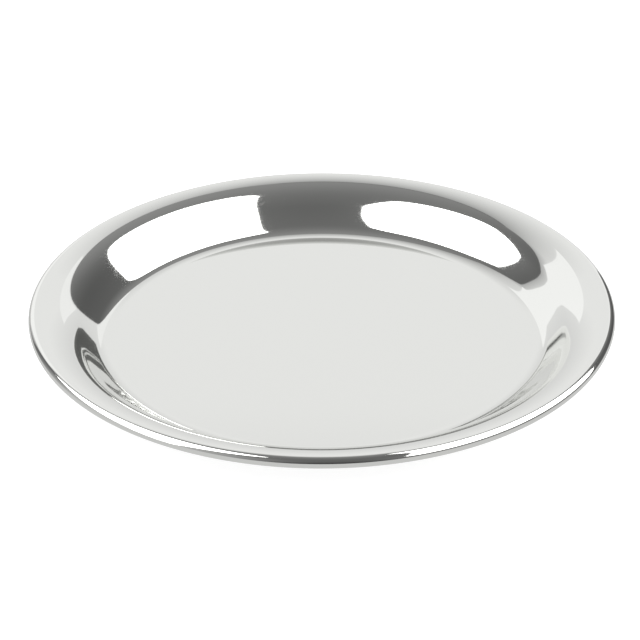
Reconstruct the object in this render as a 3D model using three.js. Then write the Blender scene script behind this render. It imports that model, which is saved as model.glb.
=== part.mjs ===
// Round serving tray with a flared rim and a rolled edge, in polished stainless steel.
//
// The tray is one piece: a disc of sheet steel, pressed so that its middle stays flat and its
// border sweeps up and out in one long S, then curled outwards and under at the edge. The curl
// is hollow, and its cut edge stops just short of the flare's underside, where it can be felt
// but not seen.
//
// Frame: millimetres, +Z up. The origin is the centre of the underside of the flat base, which
// is the face that the tray stands on.

import * as THREE from "three";

// Driving dimensions, all taken on the top face of the sheet, which becomes the curl's outside.
// Slopes are degrees from level.
const TRAY_DIAMETER = 355;
const SHEET = 0.7;
const STEEPEST_SLOPE = 44; // halfway up the wall
const STRAIGHT = 3; // length of sheet that keeps the steepest slope
const RIM_SLOPE = 5; // where the flare runs into the curl
const CURL_RADIUS = 3.5;
const SEAM_GAP = 0.5; // between the cut edge and the flare's slope, drawn straight on inwards

// The sheet between the flat base and the curl, from the inside out. HOLLOW bends turn the
// sheet up, and have their centre above it; ROUND bends turn it back towards level.
const HOLLOW = -1;
const ROUND = 1;
const WALL = [
  { side: HOLLOW, radius: 18.5, toSlope: 39, steps: 7 }, // foot
  { side: HOLLOW, radius: 120, toSlope: STEEPEST_SLOPE, steps: 2 }, // lower wall
  { side: ROUND, radius: 50, toSlope: 35, steps: 2, startsAfter: STRAIGHT }, // upper wall
  { side: ROUND, radius: 40, toSlope: RIM_SLOPE, steps: 5 }, // flare
];

// How finely the other round shapes are divided.
const STEPS_AROUND = 72;
const CURL_STEPS = 12;

const UP = Math.PI / 2;
const slopeAngle = (degrees) => UP + THREE.MathUtils.degToRad(degrees);

// A stretch of sheet that is bent on one radius, from a point on its top face. Angles are those
// of the face's normal, counted from outwards through up.
function bend(start, radius, side, from, to, steps) {
  const centre = new THREE.Vector2(
    start.x - side * radius * Math.cos(from),
    start.y - side * radius * Math.sin(from),
  );
  const at = (reach, angle) =>
    new THREE.Vector2(
      centre.x + side * reach * Math.cos(angle),
      centre.y + side * reach * Math.sin(angle),
    );
  const angles = Array.from({ length: steps + 1 }, (_, i) => from + ((to - from) * i) / steps);
  return {
    top: angles.map((angle) => at(radius, angle)),
    under: angles.map((angle) => at(radius - side * SHEET, angle)),
  };
}

// The whole wall and curl, starting from a point on the base's top face. Each bend starts on
// the slope that the last one ended with, so the sheet has no crease.
function formedSheet(start) {
  const bends = [];
  let point = start;
  let angle = UP;
  for (const { side, radius, toSlope, steps, startsAfter = 0 } of WALL) {
    const along = new THREE.Vector2(Math.sin(angle), -Math.cos(angle));
    point = point.clone().addScaledVector(along, startsAfter);
    bends.push(bend(point, radius, side, angle, slopeAngle(toSlope), steps));
    point = bends.at(-1).top.at(-1);
    angle = slopeAngle(toSlope);
  }

  // The curl runs on round until it is SEAM_GAP short of the flare.
  const cutAngle = angle - 2 * Math.PI + Math.acos(1 - (SHEET + SEAM_GAP) / CURL_RADIUS);
  bends.push(bend(point, CURL_RADIUS, ROUND, angle, cutAngle, CURL_STEPS));
  return bends;
}

// Cross-section of the sheet from the axis to the cut edge, as a closed outline. The flat base
// takes whatever width the wall and the curl leave of the tray's radius.
function sheetOutline() {
  const curlStart = formedSheet(new THREE.Vector2(0, SHEET)).at(-1).top[0];
  const curlReach = CURL_RADIUS * (1 + Math.sin(THREE.MathUtils.degToRad(RIM_SLOPE)));
  const baseRadius = TRAY_DIAMETER / 2 - curlReach - curlStart.x;

  const bends = formedSheet(new THREE.Vector2(baseRadius, SHEET));
  const joined = (face) =>
    bends
      .flatMap((b) => b[face])
      .filter((point, i, all) => i === 0 || point.distanceTo(all[i - 1]) > 1e-6);
  return [
    new THREE.Vector2(0, 0),
    ...joined("under"),
    ...joined("top").reverse(),
    new THREE.Vector2(0, SHEET),
  ];
}

const polishedSteel = new THREE.MeshStandardMaterial({
  color: 0xdededb,
  metalness: 1,
  roughness: 0.06,
});

const tray = new THREE.Mesh(
  new THREE.LatheGeometry(sheetOutline(), STEPS_AROUND),
  polishedSteel,
);
tray.name = "tray_pressing";
tray.rotation.x = Math.PI / 2; // the lathe turns about Y, and the tray stands along Z

const servingTray = new THREE.Group();
servingTray.add(tray);

export default servingTray;
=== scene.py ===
# %% [markdown]
# # A pressed steel serving tray
#
# This lesson makes the looks of one round serving tray. The real tray is a single disc of
# stainless steel sheet. A press draws it to shape, a roller curls its edge outwards and under,
# and a felt wheel polishes it while it turns.
#
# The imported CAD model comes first, as a fixed frame. It says where the tray is and how big it
# is, and everything below is placed from it. Blender units are metres, and +Z is up.

# %% Load the frame
import math

import bmesh
import bpy
from mathutils import Matrix, Vector


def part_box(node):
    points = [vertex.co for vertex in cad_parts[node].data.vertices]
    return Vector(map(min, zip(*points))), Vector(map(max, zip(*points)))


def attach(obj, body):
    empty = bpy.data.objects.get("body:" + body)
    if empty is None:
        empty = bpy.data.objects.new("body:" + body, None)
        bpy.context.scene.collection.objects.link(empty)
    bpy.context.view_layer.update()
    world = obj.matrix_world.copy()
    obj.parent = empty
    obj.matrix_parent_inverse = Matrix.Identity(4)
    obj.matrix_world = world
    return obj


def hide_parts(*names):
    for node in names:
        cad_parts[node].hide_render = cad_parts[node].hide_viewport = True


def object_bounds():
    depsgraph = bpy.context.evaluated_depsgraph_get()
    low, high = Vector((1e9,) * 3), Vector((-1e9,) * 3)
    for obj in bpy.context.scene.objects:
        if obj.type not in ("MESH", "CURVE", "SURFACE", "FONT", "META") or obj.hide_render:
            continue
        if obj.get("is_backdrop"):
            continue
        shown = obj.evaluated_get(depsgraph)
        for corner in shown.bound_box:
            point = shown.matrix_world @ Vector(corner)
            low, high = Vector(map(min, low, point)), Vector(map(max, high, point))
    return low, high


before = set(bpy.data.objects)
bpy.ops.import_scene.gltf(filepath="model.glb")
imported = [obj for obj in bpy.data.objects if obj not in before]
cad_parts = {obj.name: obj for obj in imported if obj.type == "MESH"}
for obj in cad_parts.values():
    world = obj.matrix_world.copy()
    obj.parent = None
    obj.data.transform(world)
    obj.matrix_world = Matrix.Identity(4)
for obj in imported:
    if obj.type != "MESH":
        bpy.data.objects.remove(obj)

cad_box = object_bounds()
MM = 0.001
tray_low, tray_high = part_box("tray_pressing")
tray_radius = (tray_high.x - tray_low.x) / 2
print(f"the tray is {2 * tray_radius / MM:.1f} mm across and {tray_high.z / MM:.2f} mm high")

# %% [markdown]
# ## Working with nothing selected
#
# An operator in Blender acts on whatever is selected, and the loaded frame is still selected.
# So every piece starts from an empty selection. Inside edit mode, edges are picked by their
# place, which is what a click would do by hand.


# %% Selection helpers
def start_afresh():
    """Leaves edit mode and selects nothing."""
    if bpy.context.object and bpy.context.object.mode != "OBJECT":
        bpy.ops.object.mode_set(mode="OBJECT")
    bpy.ops.object.select_all(action="DESELECT")


def edit(piece):
    """Enters edit mode on one piece, with all of it selected."""
    start_afresh()
    bpy.context.view_layer.objects.active = piece
    piece.select_set(True)
    bpy.ops.object.mode_set(mode="EDIT")
    bpy.ops.mesh.select_mode(type="EDGE")
    bpy.ops.mesh.select_all(action="SELECT")


def pick_edges(piece, wanted):
    """In edit mode, selects only the edges whose two ends both pass the test."""
    bpy.ops.mesh.select_all(action="DESELECT")
    shape = bmesh.from_edit_mesh(piece.data)
    for edge in shape.edges:
        edge.select = all(wanted(v.co) for v in edge.verts)
    shape.select_flush_mode()
    bmesh.update_edit_mesh(piece.data)
    return sum(e.select for e in shape.edges)


# %% [markdown]
# ## The section of the tray
#
# Cut the tray through its middle, and one side of the cut is a line in six parts: the flat
# base, the foot that turns up, the lower wall that eases into the steepest slope, the upper
# wall that eases out of it, the long flare, and the curl. All but the base are arcs, with a
# short straight stretch between the lower and the upper wall. A press tool is turned with such
# arcs, so the section is drawn in the same way: each arc starts where the last one ended, and
# in the direction in which it ended. That leaves no crease anywhere.
#
# All radii are those of the top face of the sheet. A slope is the angle from level.

# %% Driving dimensions
SHEET = 0.7 * MM
STEEPEST_SLOPE = 44
STRAIGHT = 3 * MM
RIM_SLOPE = 5
CURL_RADIUS = 3.5 * MM
SEAM_GAP = 0.5 * MM
HOLLOW, ROUND = 1, -1
WALL = [  # side, radius, slope at its end, steps, straight stretch before it
    (HOLLOW, 18.5 * MM, 39, 20, 0),
    (HOLLOW, 120 * MM, STEEPEST_SLOPE, 6, 0),
    (ROUND, 50 * MM, 35, 8, STRAIGHT),
    (ROUND, 40 * MM, RIM_SLOPE, 26, 0),
]


# %% Arcs of the section
def add_arc(line, side, radius, start, stop, steps):
    """Adds an arc to a line of (radius, height) points, which ends with the slope `start`."""
    centre_x = line[-1][0] - side * radius * math.sin(start)
    centre_y = line[-1][1] + side * radius * math.cos(start)
    for step in range(1, steps + 1):
        slope = start + (stop - start) * step / steps
        x = centre_x + side * radius * math.sin(slope)
        line.append((x, centre_y - side * radius * math.cos(slope)))


def wall_line(start):
    """The wall and flare of the tray, from the edge of the base to the start of the curl."""
    line, slope = [start], 0.0
    for side, radius, end_slope, steps, straight in WALL:
        if straight:
            x, y = line[-1]
            line.append((x + straight * math.cos(slope), y + straight * math.sin(slope)))
        add_arc(line, side, radius, slope, math.radians(end_slope), steps)
        slope = math.radians(end_slope)
    return line


# %% [markdown]
# The base is not given a size. It takes whatever the wall and the curl leave of the tray's
# radius, so the tray always comes out at the width of the frame. The curl runs on under itself
# until it almost meets the flare, and there the sheet was cut.

# %% The whole section
rim_slope = math.radians(RIM_SLOPE)
curl_reach = CURL_RADIUS * (1 + math.sin(rim_slope))
base_radius = tray_radius - curl_reach - wall_line((0, SHEET))[-1][0]

section = wall_line((base_radius, SHEET))
curl_start = section[-1]
cut_slope = rim_slope - 2 * math.pi + math.acos(1 - (SHEET + SEAM_GAP) / CURL_RADIUS)
add_arc(section, ROUND, CURL_RADIUS, rim_slope, cut_slope, 44)
print(f"base {2 * base_radius / MM:.1f} mm across, curl starts {curl_start[1] / MM:.2f} mm up")
print(f"the section turns through {math.degrees(rim_slope - cut_slope):.0f} degrees in the curl")

# %% [markdown]
# ## The sheet
#
# A shape that is round about one axis can be made by spinning its section, or by growing it
# ring by ring. Growing is chosen here, because it is what the hand does in edit mode: a circle
# is extruded, and each new ring is scaled and lifted to the next point of the section. The
# rings stay exactly level, and there is no seam to join afterwards.

# %% Grow the wall and the curl
SIDES = 360
start_afresh()
bpy.ops.mesh.primitive_circle_add(
    vertices=SIDES, radius=base_radius, fill_type="NOTHING", location=(0, 0, SHEET)
)
tray = bpy.context.object
tray.name = tray.data.name = "tray"
bpy.ops.object.transform_apply(location=True, rotation=True, scale=True)


def grow(rings):
    """Extrudes the selected ring, which lies at the first (radius, height), through the rest."""
    for last, ring in zip(rings, rings[1:]):
        lift = {"value": (0, 0, ring[1] - last[1])}
        bpy.ops.mesh.extrude_edges_move(TRANSFORM_OT_translate=lift)
        scale = ring[0] / last[0]
        bpy.ops.transform.resize(value=(scale, scale, 1), center_override=(0, 0, 0))


edit(tray)
grow(section)
print(f"{len(section)} rings of {SIDES} points, from the base to the cut edge")

# %% [markdown]
# The middle is grown inwards from the same circle, with one ring very close to the foot.
# Without that ring, the shading of the foot would leak into the flat base, and a mirror shows
# such a thing at once. The last small hole gets one face, which is poked into triangles.

# %% Close the base
def on_base_edge(co):
    return abs(co.xy.length - base_radius) < 1e-6 and abs(co.z - SHEET) < 1e-6


pick_edges(tray, on_base_edge)
inner_radii = [base_radius, base_radius - 0.15 * MM] + [
    base_radius * share for share in (0.75, 0.5, 0.25, 0.05)
]
grow([(radius, SHEET) for radius in inner_radii])
bpy.ops.mesh.edge_face_add()
bpy.ops.mesh.poke()
bpy.ops.mesh.select_all(action="SELECT")
bpy.ops.mesh.remove_doubles(threshold=1e-7)
bpy.ops.mesh.normals_make_consistent(inside=False)
bpy.ops.object.mode_set(mode="OBJECT")

# %% [markdown]
# An open sheet has no inside, so which way its faces point is a matter of luck. The base must
# point up, because the thickness is added behind it.

# %% Turn the face of the sheet up
if min(tray.data.polygons, key=lambda face: face.center.xy.length).normal.z < 0:
    edit(tray)
    bpy.ops.mesh.flip_normals()
    bpy.ops.object.mode_set(mode="OBJECT")
    print("turned the sheet over")
print(f"{len(tray.data.polygons)} faces in the top face of the sheet")

# %% [markdown]
# ## Thickness and the cut edge
#
# The Solidify modifier gives the sheet its 0.7 mm, all of it below the face that was drawn, and
# even thickness keeps that true round the bends.

# %% Give the sheet its thickness
thicken = tray.modifiers.new("Thickness", "SOLIDIFY")
thicken.thickness = SHEET
thicken.offset = -1
thicken.use_even_offset = True
bpy.ops.object.modifier_apply(modifier=thicken.name)
print(f"{len(tray.data.polygons)} faces with thickness")

# %% [markdown]
# The cut edge hides under the flare, but fingers reach it when the tray is lifted. So the
# factory takes its two corners off. They are the only sharp edges of the tray.

# %% Take the corners off the cut edge
edit(tray)
bpy.ops.mesh.select_all(action="DESELECT")
bpy.ops.mesh.edges_select_sharp(sharpness=math.radians(60))
shape = bmesh.from_edit_mesh(tray.data)
print(f"{sum(e.select for e in shape.edges)} sharp edges, in two rings of {SIDES}")
bpy.ops.mesh.bevel(offset=0.15 * MM, segments=2, affect="EDGES")
bpy.ops.object.mode_set(mode="OBJECT")
bpy.ops.object.shade_smooth_by_angle(angle=math.radians(40))

# %% [markdown]
# ## Polished steel
#
# Polished stainless steel is a metal with almost no roughness, so nearly all of its look is
# what it mirrors. What tells it from a perfect mirror is small: the polishing wheel leaves
# very fine lines that run round the tray, the shine is a little cloudy, use adds hair-thin
# scratches, and the pressed sheet is not perfectly even. Each of these is a node group with
# named values, so each can be tried alone. They all read the tray's own coordinates, in metres.


# %% Node helpers
def new_group(name, inputs, outputs):
    """An empty shader node group with named float sockets, and its input and output nodes."""
    group = bpy.data.node_groups.new(name, "ShaderNodeTree")
    for label, default in inputs.items():
        socket = group.interface.new_socket(label, in_out="INPUT", socket_type="NodeSocketFloat")
        socket.default_value = default
    for label in outputs:
        group.interface.new_socket(label, in_out="OUTPUT", socket_type="NodeSocketFloat")
    given = group.nodes.new("NodeGroupInput").outputs
    result = group.nodes.new("NodeGroupOutput").inputs
    return group, given, result


def math_node(tree, operation, *values):
    """A Math node. Each value is a number or another node's output."""
    node = tree.nodes.new("ShaderNodeMath")
    node.operation = operation
    for socket, value in zip(node.inputs, values):
        if isinstance(value, (int, float)):
            socket.default_value = value
        else:
            tree.links.new(value, socket)
    return node.outputs[0]


def noise(tree, vector, scale, detail=2.0):
    """Smooth noise from 0 to 1. The scale is in bumps per metre, or another node's output."""
    node = tree.nodes.new("ShaderNodeTexNoise")
    node.inputs["Detail"].default_value = detail
    tree.links.new(vector, node.inputs["Vector"])
    if isinstance(scale, (int, float)):
        node.inputs["Scale"].default_value = scale
    else:
        tree.links.new(scale, node.inputs["Scale"])
    return node.outputs["Fac"]


def own_place(tree):
    """The point being shaded, in the coordinates of the object that it is on."""
    return tree.nodes.new("ShaderNodeTexCoord").outputs["Object"]


# %% [markdown]
# The wheel's lines are circles about the tray's axis. Noise that is very fine along the
# distance from the axis, and very coarse round it, gives such lines. The turn enters as its
# sine and cosine, so the lines close up behind the tray without a seam.

# %% Group: polishing lines
lines_group, given, result = new_group(
    "polishing lines", {"Lines per metre": 2500, "Breaks per turn": 6}, ["Lines"]
)
split = lines_group.nodes.new("ShaderNodeSeparateXYZ")
lines_group.links.new(own_place(lines_group), split.inputs[0])
x, y, z = split.outputs
squares = math_node(
    lines_group, "ADD",
    math_node(lines_group, "MULTIPLY", x, x), math_node(lines_group, "MULTIPLY", y, y),
)
across_wall = math_node(lines_group, "ADD", math_node(lines_group, "SQRT", squares), z)
turn = math_node(lines_group, "ARCTAN2", y, x)
join = lines_group.nodes.new("ShaderNodeCombineXYZ")
for axis, value, factor in (
    ("X", across_wall, given["Lines per metre"]),
    ("Y", math_node(lines_group, "SINE", turn), given["Breaks per turn"]),
    ("Z", math_node(lines_group, "COSINE", turn), given["Breaks per turn"]),
):
    lines_group.links.new(math_node(lines_group, "MULTIPLY", value, factor), join.inputs[axis])
lines_group.links.new(noise(lines_group, join.outputs[0], 1.0, detail=3.0), result["Lines"])
print(f"{lines_group.name}: {len(lines_group.nodes)} nodes")

# %% [markdown]
# Plates and glasses slide over the base, and trays are stacked in one another. That leaves
# hair-thin scratches that run every way. The edges between the cells of a Voronoi texture are
# thin lines, and bending its coordinates with noise keeps them from looking like cells. A
# second noise lets only some stretches of them show.

# %% Group: hairline scratches
scratch_group, given, result = new_group(
    "hairline scratches", {"Cells per metre": 60, "Width": 0.012, "Share": 0.45}, ["Scratches"]
)
place = own_place(scratch_group)
bent = scratch_group.nodes.new("ShaderNodeVectorMath")
bent.operation = "ADD"
scratch_group.links.new(place, bent.inputs[0])
shift = math_node(scratch_group, "MULTIPLY", noise(scratch_group, place, 25.0), 0.05)
scratch_group.links.new(shift, bent.inputs[1])
cells = scratch_group.nodes.new("ShaderNodeTexVoronoi")
cells.feature = "DISTANCE_TO_EDGE"
scratch_group.links.new(bent.outputs[0], cells.inputs["Vector"])
scratch_group.links.new(given["Cells per metre"], cells.inputs["Scale"])
thin = math_node(scratch_group, "LESS_THAN", cells.outputs["Distance"], given["Width"])
shown = math_node(scratch_group, "LESS_THAN", noise(scratch_group, place, 90.0), given["Share"])
scratch_group.links.new(math_node(scratch_group, "MULTIPLY", thin, shown), result["Scratches"])
print(f"{scratch_group.name}: {len(scratch_group.nodes)} nodes")

# %% [markdown]
# A pressed sheet springs back a little, so a large mirror face is never quite even: lines
# reflected in it waver. The waves are a few centimetres long and far less than a hundredth of
# a millimetre high. The cloudiness is of the same size, and only changes how sharp the
# reflection is.

# %% Group: uneven sheet
uneven_group, given, result = new_group(
    "uneven sheet", {"Waves per metre": 20, "Clouds per metre": 30}, ["Waves", "Clouds"]
)
place = own_place(uneven_group)
for label, detail in (("Waves", 0.0), ("Clouds", 4.0)):
    bumps = noise(uneven_group, place, given[f"{label} per metre"], detail)
    uneven_group.links.new(bumps, result[label])
print(f"{uneven_group.name}: {len(uneven_group.nodes)} nodes")

# %% [markdown]
# The finish is a recipe with amounts. Lines, clouds and scratches each add to the roughness.
# Waves and lines add to one height, in metres, and scratches are cut out of it. One Bump node
# turns that height into the normal. Metalness and colour are plain values on the shader itself.


# %% The recipe for steel
def steel(name, colour, roughness, lines=0.0, clouds=0.0, scratches=0.0, waves=0.0, grooves=0.0):
    """Lines, clouds and scratches are roughness; waves and grooves are heights in metres."""
    material = bpy.data.materials.new(name)
    material.use_nodes = True
    tree = material.node_tree
    shader = tree.nodes["Principled BSDF"]
    shader.inputs["Base Color"].default_value = (*colour, 1)
    shader.inputs["Metallic"].default_value = 1.0
    marks = {}
    for group in (lines_group, scratch_group, uneven_group):
        node = tree.nodes.new("ShaderNodeGroup")
        node.node_tree = group
        marks.update(node.outputs.items())

    rough = roughness
    for mark, amount in (("Lines", lines), ("Clouds", clouds), ("Scratches", scratches)):
        part = math_node(tree, "MULTIPLY", marks[mark], amount)
        rough = math_node(tree, "ADD", part, rough)
    tree.links.new(rough, shader.inputs["Roughness"])

    height = math_node(tree, "MULTIPLY", marks["Waves"], waves)
    for mark, amount in (("Lines", grooves), ("Scratches", -grooves)):
        height = math_node(tree, "ADD", math_node(tree, "MULTIPLY", marks[mark], amount), height)
    bump = tree.nodes.new("ShaderNodeBump")
    bump.inputs["Distance"].default_value = 1.0
    tree.links.new(height, bump.inputs["Height"])
    tree.links.new(bump.outputs[0], shader.inputs["Normal"])
    return material


# %% [markdown]
# The tray is polished to a mirror. Steel takes away about a quarter of the light and leaves it
# very slightly yellow. How the real tray looks from below isn't known, so its back is given the
# same finish as its face.

# %% The finish
mirror_steel = steel(
    "mirror_steel", (0.76, 0.765, 0.745), 0.03,
    lines=0.012, clouds=0.02, scratches=0.03, waves=0.5e-6, grooves=0.02e-6,
)
tray.data.materials.clear()
tray.data.materials.append(mirror_steel)
area = sum(face.area for face in tray.data.polygons)
print(f"{mirror_steel.name}: {area * 1e4:.0f} square centimetres")

# %% [markdown]
# ## The tray joins the frame
#
# The tray rides on the one body of the frame, stands in for the one CAD node, and has the
# material slot that the record names. It was modelled in place, so nothing has to be moved.

# %% Attach the tray
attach(tray, "root")
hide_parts("tray_pressing")

# %% [markdown]
# ## The studio
#
# A mirror shows the room around it, so the room is most of the work. The tray stands on a
# white table that runs back to a white paper backdrop. A large softbox hangs on each side and
# leans over the table. The gaps between these white things let the dark room show, and the
# tray's wall gathers all of it into bands: the white shapes in the wall behind the base are the
# two softboxes, and not holes in the tray.
#
# Each white thing is a glowing card. None of the hung ones hides the tray from the camera.


# %% Glowing cards
def glow(name, strength):
    """A material that only gives light. The strength is a number, or is left for nodes to give."""
    material = bpy.data.materials.new(name)
    material.use_nodes = True
    tree = material.node_tree
    tree.nodes.clear()
    light = tree.nodes.new("ShaderNodeEmission")
    light.inputs["Strength"].default_value = strength
    surface = tree.nodes.new("ShaderNodeOutputMaterial").inputs["Surface"]
    tree.links.new(light.outputs[0], surface)
    return material


def card(name, corners, material, middle=(0, 0, 0), yaw=-90, lean=0, rounding=0):
    """A flat card. Its corners are given in order round it, across and up in its own plane. Its
    back faces the way that `yaw` says, in degrees round from +X, and `lean` degrees upwards."""
    start_afresh()
    bpy.ops.mesh.primitive_circle_add(vertices=len(corners), fill_type="NGON")
    flat = bpy.context.object
    flat.name = flat.data.name = name
    for vertex, corner in zip(flat.data.vertices, corners):
        vertex.co = (*corner, 0)
    if rounding:
        edit(flat)
        bpy.ops.mesh.bevel(offset=rounding, segments=10, affect="VERTICES")
        bpy.ops.object.mode_set(mode="OBJECT")
    flat.location = middle
    flat.rotation_euler = (math.radians(90 - lean), 0, math.radians(yaw + 90))
    flat.data.materials.append(material)
    flat.visible_camera = False
    flat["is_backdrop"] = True
    return flat


# %% [markdown]
# The softboxes are far brighter than white, so they stay pure white after the steel has taken
# its share. The left one has a gable, and both have rounded corners.

# %% Two softboxes
softbox_light = glow("softbox_light", 4.0)
card(
    "left_softbox", [(-0.8, -0.5), (0.6, -1.4), (0.8, 0.85), (-0.05, 1.35), (-0.85, 0.65)],
    softbox_light, middle=(-0.8, 0, 1.3), yaw=202, lean=3.6, rounding=0.2,
)
card(
    "right_softbox", [(-1.35, -0.85), (0.9, -0.85), (0.95, 1.0), (-0.4, 0.9)],
    softbox_light, middle=(0.95, 0.33, 1.0), yaw=-39, lean=39.4, rounding=0.2,
)

# %% [markdown]
# The backdrop is a roll of white paper. It is lit less at its top, near the table and at its
# left edge, so it falls back towards grey there. A Map Range node makes each fall. The card's
# own coordinates are metres across and up.

# %% The light on the paper
BACKDROP_Y = 1.42
BACKDROP_TOP = 2.3


def fall(tree, value, start, stop, level):
    """Evenly from 1 at `start` to `level` at `stop`."""
    node = tree.nodes.new("ShaderNodeMapRange")
    tree.links.new(value, node.inputs["Value"])
    ends = {"From Min": start, "From Max": stop, "To Min": 1.0, "To Max": level}
    for label, number in ends.items():
        node.inputs[label].default_value = number
    return node.outputs["Result"]


paper_light = glow("paper_light", 1.0)
tree = paper_light.node_tree
split = tree.nodes.new("ShaderNodeSeparateXYZ")
tree.links.new(own_place(tree), split.inputs[0])
across, up, _ = split.outputs
at_top = fall(tree, up, 0.95, BACKDROP_TOP, 0.45)
at_foot = fall(tree, up, 0.65, 0.0, 0.8)
at_left = fall(tree, across, -1.1, -1.9, 0.15)
level = math_node(tree, "MULTIPLY", math_node(tree, "MULTIPLY", at_top, at_foot), at_left)
tree.links.new(level, tree.nodes["Emission"].inputs["Strength"])
print(f"{paper_light.name}: {len(tree.nodes)} nodes")

# %% [markdown]
# The paper is narrower at the top than at the table. The tube that it hangs from is darker, and
# two sheets of brighter board stand just in front of it.

# %% The backdrop
TUBE = 0.08
BOARD_GAP = 0.02
card(
    "backdrop", [(-1.9, 0), (0.8, 0), (0.12, BACKDROP_TOP), (-1.1, BACKDROP_TOP)],
    paper_light, middle=(0, BACKDROP_Y, 0),
)
card(
    "paper_tube", [(-1.1, 0), (0.12, 0), (0.12, TUBE), (-1.1, TUBE)],
    glow("tube_light", 0.18), middle=(0, BACKDROP_Y, BACKDROP_TOP),
)
card(
    "left_board", [(-1.28, 0.37), (-0.33, 0.37), (-0.33, 1.25), (-1.28, 1.25)],
    glow("left_board_light", 1.14), middle=(0, BACKDROP_Y - BOARD_GAP, 0),
)
card(
    "right_board", [(0.33, 0.38), (0.65, 0.38), (0.42, 1.2), (0.33, 1.2)],
    glow("right_board_light", 1.08), middle=(0, BACKDROP_Y - BOARD_GAP, 0),
)

# %% [markdown]
# The table is white paper too, and it ends 0.2 m in front of the tray and beside it, so the
# tray's edge mirrors the dark room beyond. Under the rim the paper lies in the tray's own
# shade. The softboxes would overexpose it elsewhere, so it is made twice: as the camera sees
# it, and a little darker as the underside of the curl sees it.

# %% The table
TABLE = [(-0.39, -0.42), (0.40, -0.42), (0.40, BACKDROP_Y), (-0.39, BACKDROP_Y)]
table_white = bpy.data.materials.new("table_white")
table_white.use_nodes = True
shader = table_white.node_tree.nodes["Principled BSDF"]
shader.inputs["Base Color"].default_value = (0.3, 0.3, 0.3, 1)
shader.inputs["Roughness"].default_value = 0.9
shader.inputs["Specular IOR Level"].default_value = 0.0
shader.inputs["Emission Color"].default_value = (1, 1, 1, 1)
shader.inputs["Emission Strength"].default_value = 0.85
table = card("table", TABLE, table_white, lean=90)
table.visible_camera = True
table.visible_glossy = False
card("shaded_table", TABLE, glow("shaded_paper", 0.72), middle=(0, 0, -1 * MM), lean=90)
print(f"the table is {TABLE[1][0] - TABLE[0][0]:.2f} m wide and {TABLE[2][1] - TABLE[1][1]:.2f} m deep")

# %% [markdown]
# The room beyond is a large sphere. No wall of it matters, only how light it is in each
# direction, so it blends from ten levels. It is dark overhead and behind the camera, and
# lighter where the softboxes spill onto the walls, most of all on the left. The blend gives
# each level a weight that falls off quickly with the angle to its direction.

# %% The room
ROOM = [  # direction, level of light
    ((0, 0, 1), 0.18), ((0, -0.7, 0.7), 0.12), ((0, -1, 0.05), 0.0), ((-1, 0, 0.3), 0.75),
    ((1, 0, 0.3), 0.25), ((0, 0.6, 0.8), 0.38), ((-0.7, -0.7, 0.3), 0.55),
    ((0.7, -0.7, 0.3), 0.30), ((-0.8, 0.55, 0.5), 0.02), ((0.8, 0.55, 0.3), 0.08),
]
room_light = glow("room_light", 1.0)
tree = room_light.node_tree
unit = tree.nodes.new("ShaderNodeVectorMath")
unit.operation = "NORMALIZE"
tree.links.new(own_place(tree), unit.inputs[0])
SHARPNESS = 8.0  # how quickly the weight falls off
total = weights = 0.0
for towards, level in ROOM:
    dot = tree.nodes.new("ShaderNodeVectorMath")
    dot.operation = "DOT_PRODUCT"
    tree.links.new(unit.outputs[0], dot.inputs[0])
    dot.inputs[1].default_value = Vector(towards).normalized()
    nearness = math_node(tree, "MULTIPLY", dot.outputs["Value"], SHARPNESS)
    weight = math_node(tree, "EXPONENT", nearness)
    total = math_node(tree, "ADD", math_node(tree, "MULTIPLY", weight, level), total)
    weights = math_node(tree, "ADD", weight, weights)
blend = math_node(tree, "DIVIDE", total, weights)
tree.links.new(blend, tree.nodes["Emission"].inputs["Strength"])
print(f"{room_light.name}: {len(ROOM)} levels, {len(tree.nodes)} nodes")

start_afresh()
bpy.ops.mesh.primitive_uv_sphere_add(segments=64, ring_count=32, radius=4)
room = bpy.context.object
room.name = room.data.name = "room"
room.data.materials.append(room_light)
room.visible_camera = False
room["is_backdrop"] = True

# %% [markdown]
# Past the table the camera sees plain white. The Standard view transform keeps white at white,
# where a film-like one would turn it grey.

# %% The world
world = bpy.data.worlds.new("white")
world.use_nodes = True
world.node_tree.nodes["Background"].inputs["Color"].default_value = (1, 1, 1, 1)
bpy.context.scene.world = world
bpy.context.scene.view_settings.view_transform = "Standard"

# %% [markdown]
# ## The camera
#
# A long lens from a little over a metre away keeps the tray's ellipse almost free of
# perspective. It looks down at 30 degrees, and aims just above the middle of the base.

# %% Camera
camera_data = bpy.data.cameras.new("camera")
camera_data.lens = 112.5
camera = bpy.data.objects.new("camera", camera_data)
bpy.context.scene.collection.objects.link(camera)
camera.location = (0, -1.063, 0.6193)
aim = Vector((-0.0011, 0, 0.0102))
look = (aim - camera.location).to_track_quat("-Z", "Y").to_matrix()
camera.rotation_euler = (look @ Matrix.Rotation(math.radians(-0.165), 3, "Z")).to_euler()
bpy.context.scene.camera = camera
tilt = math.degrees(math.atan2(camera.location.z - aim.z, -camera.location.y))
print(f"the camera looks down at {tilt:.1f} degrees through a {camera_data.lens:.0f} mm lens")

# %% [markdown]
# ## Last look
#
# The box of what is shown must match the box of the CAD model, since other programs place the
# part by the CAD.

shown_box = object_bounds()
for label, box in (("CAD", cad_box), ("shown", shown_box)):
    print(label, [[round(value / MM, 2) for value in corner] for corner in box])
